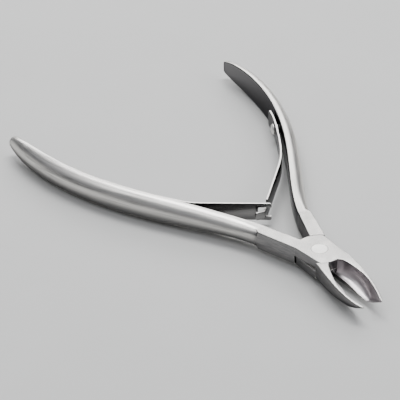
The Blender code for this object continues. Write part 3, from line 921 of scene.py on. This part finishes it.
def pivot_profile(grow, proud, fillet=0.0):
    """Rivet with a coned seat at each face."""
    half = HALF_JOINT + proud
    head = HALF_JOINT - PIVOT_HEAD_DEPTH
    cone = head - (PIVOT_HEAD_RADIUS - PIVOT_SHAFT_RADIUS)
    wide = PIVOT_HEAD_RADIUS + grow
    narrow = PIVOT_SHAFT_RADIUS + grow
    upper = [(0.0, half)]
    if fillet:
        for angle in quarter_turn(FILLET_STEPS):
            upper.append((wide - fillet * (1 - sin(angle)), half - fillet * (1 - cos(angle))))
    else:
        upper.append((wide, half))
    upper += [(wide, head), (narrow, cone)]
    return upper + [(r, -z) for r, z in reversed(upper)]


def across_leaf(mesh, side):
    """Stand a turned mesh on the leaf's seat, its +Z toward the inside."""
    tangent = handle_point(SPRING_SEAT)[1]
    axis = Vector((side * tangent.y, -tangent.x, 0.0))
    turn = axis.to_track_quat("Z", "Y").to_matrix().to_4x4()
    place = Matrix.Translation(Vector((side * SEAT.x, SEAT.y, 0.0)) * MM)
    mesh.transform(place @ turn)
    return axis


def rivet_hole(side):
    """Cutter through the leaf and into the handle at the leaf's seat."""
    deep = SPRING_STANDOFF + SPRING_THICKNESS / 2 + RIVET_GRIP
    radius = RIVET_SHAFT_RADIUS + RIVET_HOLE_GAP
    profile = [(0.0, CUTTER_REACH), (radius, CUTTER_REACH), (radius, -deep), (0.0, -deep)]
    mesh = turned("hole", profile, HOLE_SEGMENTS)
    across_leaf(mesh, side)
    return mesh


def lever(name, side, shape, materials):
    """One forging: handle, shank, lap half and half-spoon jaw."""
    obj = add_object(name, handle_mesh(name, side))
    obj.data.materials.append(materials[0])
    obj.data.materials.append(materials[1])

    outline = [(side * x, y) for x, y in SHANK_INNER + SHANK_OUTER]
    shank = rounded_plate("shank", outline, -HALF_JOINT, HALF_JOINT, EDGE_ROUND, EDGE_ROUND)
    shank.materials.append(materials[0])
    boolean(obj, shank, "UNION")

    jaw = jaw_mesh("jaw", side, shape)
    jaw.materials.append(materials[0])
    jaw.materials.append(materials[1])
    boolean(obj, jaw, "UNION")

    # Lever A keeps the upper half of the lap and lever B the lower one
    ring = arc_points(LAP_RADIUS + LAP_SHOULDER_GAP, 0.0, 360.0 - ARC_STEP)
    outer = HALF_JOINT + CUTTER_REACH
    face = LAP_FACE_GAP / 2
    outline = lap_outline(side)
    if side > 0:
        recess = rounded_plate("recess", ring, -outer, face)
        lap = rounded_plate("lap", outline, face, HALF_JOINT, round_top=EDGE_ROUND)
    else:
        recess = rounded_plate("recess", ring, -face, outer)
        lap = rounded_plate("lap", outline, -HALF_JOINT, -face, round_bottom=EDGE_ROUND)
    recess.materials.append(materials[0])
    boolean(obj, recess, "DIFFERENCE")
    lap.materials.append(materials[0])
    boolean(obj, lap, "UNION")

    seat = turned("seat", pivot_profile(PIVOT_RUNNING_GAP, PIVOT_SEAT_PROUD), PIVOT_SEGMENTS)
    for mesh in (seat, rivet_hole(side)):
        mesh.materials.append(materials[0])
        boolean(obj, mesh, "DIFFERENCE")
    smooth_faces(obj, SHARP_ANGLE)
    raise_to_joint(obj)
    return obj


# ----------------------------------------------------------------- springs

def spring_heading(leaf, s):
    """Heading from +Y toward -X, in degrees, at a length past the seat."""
    root, free, root_length, bend_length = leaf
    if s < 0.0:
        return HEADING_SEAT + (HEADING_SEAT - HEADING_TAIL) * s / SPRING_TAIL
    if s < root_length:
        return HEADING_SEAT + (root - HEADING_SEAT) * s / root_length
    return root + (free - root) * smooth((s - root_length) / bend_length)


def spring_point(leaf, s):
    """Plan point of the leaf's middle at a length past the seat."""
    point = SEAT.copy()
    count = max(1, round(abs(s) / SPRING_PATH_STEP))
    for i in range(count):
        angle = radians(spring_heading(leaf, s * (i + 0.5) / count))
        point += Vector((-sin(angle), cos(angle))) * s / count
    return point


def corner_height(distance, half_height, corner, drop):
    """Half height near an end whose corners are rounded."""
    if distance >= corner:
        return half_height
    gap = 1.0 - distance / corner
    return half_height - drop * (1.0 - sqrt(max(0.0, 1.0 - gap * gap)))


def leaf_ring(point, heading, half_height, side):
    """Rounded rectangle across the leaf."""
    out = Vector((cos(heading), sin(heading)))
    half = SPRING_THICKNESS / 2
    corners = ((1, 1), (-1, 1), (-1, -1), (1, -1))
    ring = []
    for k, (sx, sz) in enumerate(corners):
        for i in range(LEAF_FILLET_STEPS + 1):
            angle = pi / 2 * (k + i / LEAF_FILLET_STEPS)
            w = sx * (half - LEAF_EDGE) + LEAF_EDGE * cos(angle)
            z = sz * (half_height - LEAF_EDGE) + LEAF_EDGE * sin(angle)
            plan = point + out * w
            ring.append((side * plan.x, plan.y, z))
    return ring


def track_rings(leaf, track, side):
    """Sections of a leaf at each (length past the seat, half height) of a track."""
    return [leaf_ring(spring_point(leaf, s), radians(spring_heading(leaf, s)), height, side)
            for s, height in track]


def straight_track(end):
    """(length past the seat, half height) from the tail up to a length."""
    track = []
    for d in TAIL_STATIONS:
        height = corner_height(d, SPRING_HALF_HEIGHT, TAIL_CORNER, TAIL_CORNER_DROP)
        track.append((d - SPRING_TAIL, height))
    s = TAIL_CORNER + SPRING_STATION_STEP - SPRING_TAIL
    while s < end:
        track.append((s, SPRING_HALF_HEIGHT))
        s += SPRING_STATION_STEP
    return track


def fork_rings(side):
    """Leaf A: full height to its fork."""
    track = straight_track(FORK_END - FORK_STATIONS_RUN)
    for d in FORK_STATIONS:
        height = corner_height(d, SPRING_HALF_HEIGHT, FORK_CORNER, FORK_CORNER_DROP)
        track.append((FORK_END - d, height))
    return track_rings(LEAF_A, track, side)


def hook_rings(side):
    """Leaf B: full height, then a narrow tongue that bends to a hook."""
    track = straight_track(TONGUE_START - TONGUE_CLEARANCE)
    shoulder = SPRING_HALF_HEIGHT - TONGUE_HALF_HEIGHT
    for i in range(TONGUE_SHOULDER_STEPS + 1):
        share = i / TONGUE_SHOULDER_STEPS
        height = TONGUE_HALF_HEIGHT + shoulder * (1.0 - sin(pi / 2 * share))
        track.append((TONGUE_START + TONGUE_SHOULDER * share**2, height))
    track.append((TONGUE_START + TONGUE_STRAIGHT, TONGUE_HALF_HEIGHT))
    track.append((HOOK_START, TONGUE_HALF_HEIGHT))
    rings = track_rings(LEAF_B, track, side)
    heading = radians(LEAF_B[1])
    along = Vector((-sin(heading), cos(heading)))
    across = Vector((-cos(heading), -sin(heading)))
    start = spring_point(LEAF_B, HOOK_START)
    for i in range(1, HOOK_STEPS + 1):
        turn = radians(HOOK_TURN * i / HOOK_STEPS)
        point = start + along * HOOK_RADIUS * sin(turn)
        point += across * HOOK_RADIUS * (1.0 - cos(turn))
        rings.append(leaf_ring(point, heading + turn, TONGUE_HALF_HEIGHT, side))
    onward = along * cos(turn) + across * sin(turn)
    for d in HOOK_END_STATIONS:
        height = corner_height(d, TONGUE_HALF_HEIGHT, TONGUE_CORNER, TONGUE_CORNER)
        rings.append(leaf_ring(point + onward * (HOOK_TAIL - d), heading + turn, height, side))
    return rings


def fork_slot():
    """Slot between the two prongs, round in its corners and open at the end."""
    start = spring_point(LEAF_A, FORK_SLOT_START)
    end = spring_point(LEAF_A, FORK_END + CUTTER_REACH)
    along = (end - start).normalized()
    across = Vector((-along.y, along.x))
    length = (end - start).length
    corner = FORK_SLOT_CORNER
    height = FORK_SLOT_HALF_HEIGHT
    upper = []
    for angle in quarter_turn(SLOT_CORNER_STEPS):
        upper.append((corner * (1 - cos(angle)), height - corner * (1 - sin(angle))))
    upper.append((length, height))
    outline = upper + [(u, -z) for u, z in reversed(upper)]
    rings = []
    for reach in (-CUTTER_REACH, CUTTER_REACH):
        ring = []
        for u, z in outline:
            plan = start + along * u + across * reach
            ring.append((plan.x, plan.y, z))
        rings.append(ring)
    return loft("slot", rings)


def spring(name, leaf, side, rings, material, slot=None):
    """Leaf that bends between its seat on the handle and its free length."""
    obj = add_object(name, loft(name, rings))
    obj.data.materials.append(material)
    tools = [rivet_hole(side)]
    if slot:
        tools.append(slot)
    for mesh in tools:
        mesh.materials.append(material)
        boolean(obj, mesh, "DIFFERENCE")
    smooth_faces(obj, LEAF_SHARP_ANGLE)
    raise_to_joint(obj)
    reach = spring_point(leaf, BLEND_REACH)
    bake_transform(obj)
    return obj


def spring_rivet_profile():
    """Domed head, neck, collar and shaft."""
    leaf_half = SPRING_THICKNESS / 2
    head_face = leaf_half + RIVET_PLAY
    profile = [(0.0, head_face + RIVET_HEAD_HEIGHT)]
    for angle in RIVET_CROWN_ANGLES:
        radius = RIVET_HEAD_RADIUS * sin(radians(angle))
        rise = RIVET_HEAD_HEIGHT * (1.0 - RIVET_CROWN * (1.0 - cos(radians(angle))))
        profile.append((radius, head_face + rise))
    collar_top = -leaf_half - RIVET_PLAY
    collar_end = RIVET_PLAY - SPRING_STANDOFF - leaf_half
    shaft = RIVET_SHAFT_RADIUS
    collar = RIVET_COLLAR_RADIUS
    fillet = min(RIVET_FILLET, (collar_top - collar_end) * FILLET_LIMIT)
    middle = fillet * RIVET_FILLET_MIDDLE
    profile += [(RIVET_HEAD_RADIUS, head_face + RIVET_HEAD_EDGE),
                (RIVET_HEAD_RADIUS - RIVET_HEAD_EDGE, head_face),
                (shaft, head_face), (shaft, collar_top),
                (collar - fillet, collar_top), (collar - middle, collar_top - middle),
                (collar, collar_top - fillet), (collar, collar_end + fillet),
                (collar - fillet, collar_end), (shaft, collar_end)]
    end = collar_end - RIVET_GRIP
    return profile + [(shaft, end), (0.0, end)]


def spring_rivet(name, side, body):
    """Rivet through a leaf's seat into its handle."""
    mesh = turned(name, spring_rivet_profile(), RIVET_SEGMENTS)
    axis = across_leaf(mesh, side)
    obj = add_object(name, mesh)
    centre = (side * SEAT.x * MM, SEAT.y * MM, LIFT)
    obj.data.materials.append(turned_steel(name + "_steel", centre, axis))
    smooth_faces(obj, SHARP_ANGLE)
    raise_to_joint(obj)
    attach(obj, body)
    return obj


# ------------------------------------------------------------------- build

forged = forged_steel("forged_satin_steel")
hollow = hollow_steel("polished_hollow_steel")
strip = spring_steel("polished_spring_steel")

lever_a = lever("lever_a_forging", 1, JAW_A, (forged, hollow))
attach(lever_a, "lever_a_body")
lever_b = lever("lever_b_forging", -1, JAW_B, (forged, hollow))
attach(lever_b, "lever_b_body")

rivet_mesh = turned("pivot", pivot_profile(0.0, PIVOT_PROUD, PIVOT_FILLET), PIVOT_SEGMENTS)
rivet = add_object("pivot_rivet_turned", rivet_mesh)
rivet.data.materials.append(turned_steel("pivot_rivet_steel", (0.0, 0.0, LIFT), (0.0, 0.0, 1.0)))
smooth_faces(rivet, SHARP_ANGLE)
raise_to_joint(rivet)
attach(rivet, "lever_b_body")

spring_a = spring("spring_a_leaf", LEAF_A, 1, fork_rings(1),
                  strip, fork_slot())
spring_b = spring("spring_b_leaf", LEAF_B, -1, hook_rings(-1),
                  strip)
rivet_a = spring_rivet("spring_rivet_a_domed", 1, "lever_a_body")
rivet_b = spring_rivet("spring_rivet_b_domed", -1, "lever_b_body")

for piece, node, slot_name in (
        (lever_a, "lever_a", "satin_steel"),
        (lever_b, "lever_b", "satin_steel"),
        (rivet, "pivot_rivet", "rivet_steel"),
        (spring_a, "spring_a", "polished_steel"),
        (spring_b, "spring_b", "polished_steel"),
        (rivet_a, "spring_rivet_a", "rivet_steel"),
        (rivet_b, "spring_rivet_b", "rivet_steel")):
    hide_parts(node)


# ------------------------------------------------------------------- stage

def pale_floor(level):
    """Large matt sheet under the tool."""
    material = bpy.data.materials.new("pale_floor")
    nodes = Nodes(material)
    mottle = nodes.noise(nodes.position(), *FLOOR_CLOUD_NOISE)
    colour = nodes.tint(mottle, FLOOR_DARK, FLOOR_LIGHT)
    nodes.link(colour, nodes.shader.inputs["Base Color"])
    nodes.shader.inputs["Roughness"].default_value = FLOOR_ROUGHNESS
    bm = bmesh.new()
    bmesh.ops.create_grid(bm, x_segments=1, y_segments=1, size=FLOOR_HALF_SIZE)
    mesh = bpy.data.meshes.new("floor")
    bm.to_mesh(mesh)
    bm.free()
    mesh.materials.append(material)
    obj = add_object("floor", mesh)
    obj.location.z = level


def spherical(azimuth, elevation):
    """Unit vector toward an azimuth from +X and an elevation, both in radians."""
    return Vector((cos(elevation) * cos(azimuth), cos(elevation) * sin(azimuth),
                   sin(elevation)))


def softbox(name, azimuth, elevation, distance, size, power):
    """Rectangular light that faces the middle of the tool."""
    light = bpy.data.lights.new(name, "AREA")
    light.shape = "RECTANGLE"
    light.size = size[0]
    light.size_y = size[1]
    light.energy = power
    obj = add_object(name, light)
    direction = spherical(radians(azimuth), radians(elevation))
    obj.location = Vector(LIGHT_TARGET) + direction * distance
    obj.rotation_euler = direction.to_track_quat("Z", "Y").to_euler()


def studio_world():
    """Soft dome of light, dim at the horizon and brighter overhead, seen as a pale wall."""
    world = bpy.data.worlds.new("studio")
    world.use_nodes = True
    tree = world.node_tree
    background = tree.nodes["Background"]
    background.inputs["Color"].default_value = SKY_COLOUR
    direction = tree.nodes.new("ShaderNodeTexCoord")
    split = tree.nodes.new("ShaderNodeSeparateXYZ")
    rise = tree.nodes.new("ShaderNodeMapRange")
    rise.inputs["From Min"].default_value = SKY_RISE[0]
    rise.inputs["From Max"].default_value = SKY_RISE[1]
    rise.inputs["To Min"].default_value = SKY_LEVELS[0]
    rise.inputs["To Max"].default_value = SKY_LEVELS[1]
    tree.links.new(direction.outputs["Generated"], split.inputs[0])
    tree.links.new(split.outputs[2], rise.inputs["Value"])
    seen = tree.nodes.new("ShaderNodeLightPath")
    backdrop = tree.nodes.new("ShaderNodeMix")
    backdrop.inputs[3].default_value = BACKDROP_LEVEL
    tree.links.new(seen.outputs["Is Camera Ray"], backdrop.inputs[0])
    tree.links.new(rise.outputs[0], backdrop.inputs[2])
    tree.links.new(backdrop.outputs[0], background.inputs["Strength"])
    bpy.context.scene.world = world


def camera():
    """Long lens beyond the jaws, above the joint and turned toward the handles."""
    azimuth = radians(CAMERA_AZIMUTH)
    toward = spherical(azimuth, radians(CAMERA_ELEVATION))
    level = Vector((-sin(azimuth), cos(azimuth), 0.0))
    rise = toward.cross(level)
    roll = radians(CAMERA_ROLL)
    right = level * cos(roll) + rise * sin(roll)
    up = rise * cos(roll) - level * sin(roll)
    forward = up * tan(radians(CAMERA_TILT)) - right * tan(radians(CAMERA_PAN)) - toward
    forward.normalize()
    right = (right - forward * right.dot(forward)).normalized()
    up = right.cross(forward)
    data = bpy.data.cameras.new("camera")
    data.sensor_width = SENSOR_WIDTH
    data.lens = FOCAL_LENGTH
    data.clip_start = CLIP_START
    data.clip_end = CLIP_END
    obj = add_object("camera", data)
    rotation = Matrix((right, up, -forward)).transposed().to_4x4()
    place = Vector((0.0, 0.0, LIFT)) + toward * CAMERA_DISTANCE
    obj.matrix_world = Matrix.Translation(place) @ rotation
    bpy.context.scene.camera = obj


pale_floor(cad_box[0][2] - FLOOR_DROP)
for light_name, settings in SOFTBOXES.items():
    softbox(light_name, *settings)
studio_world()
camera()
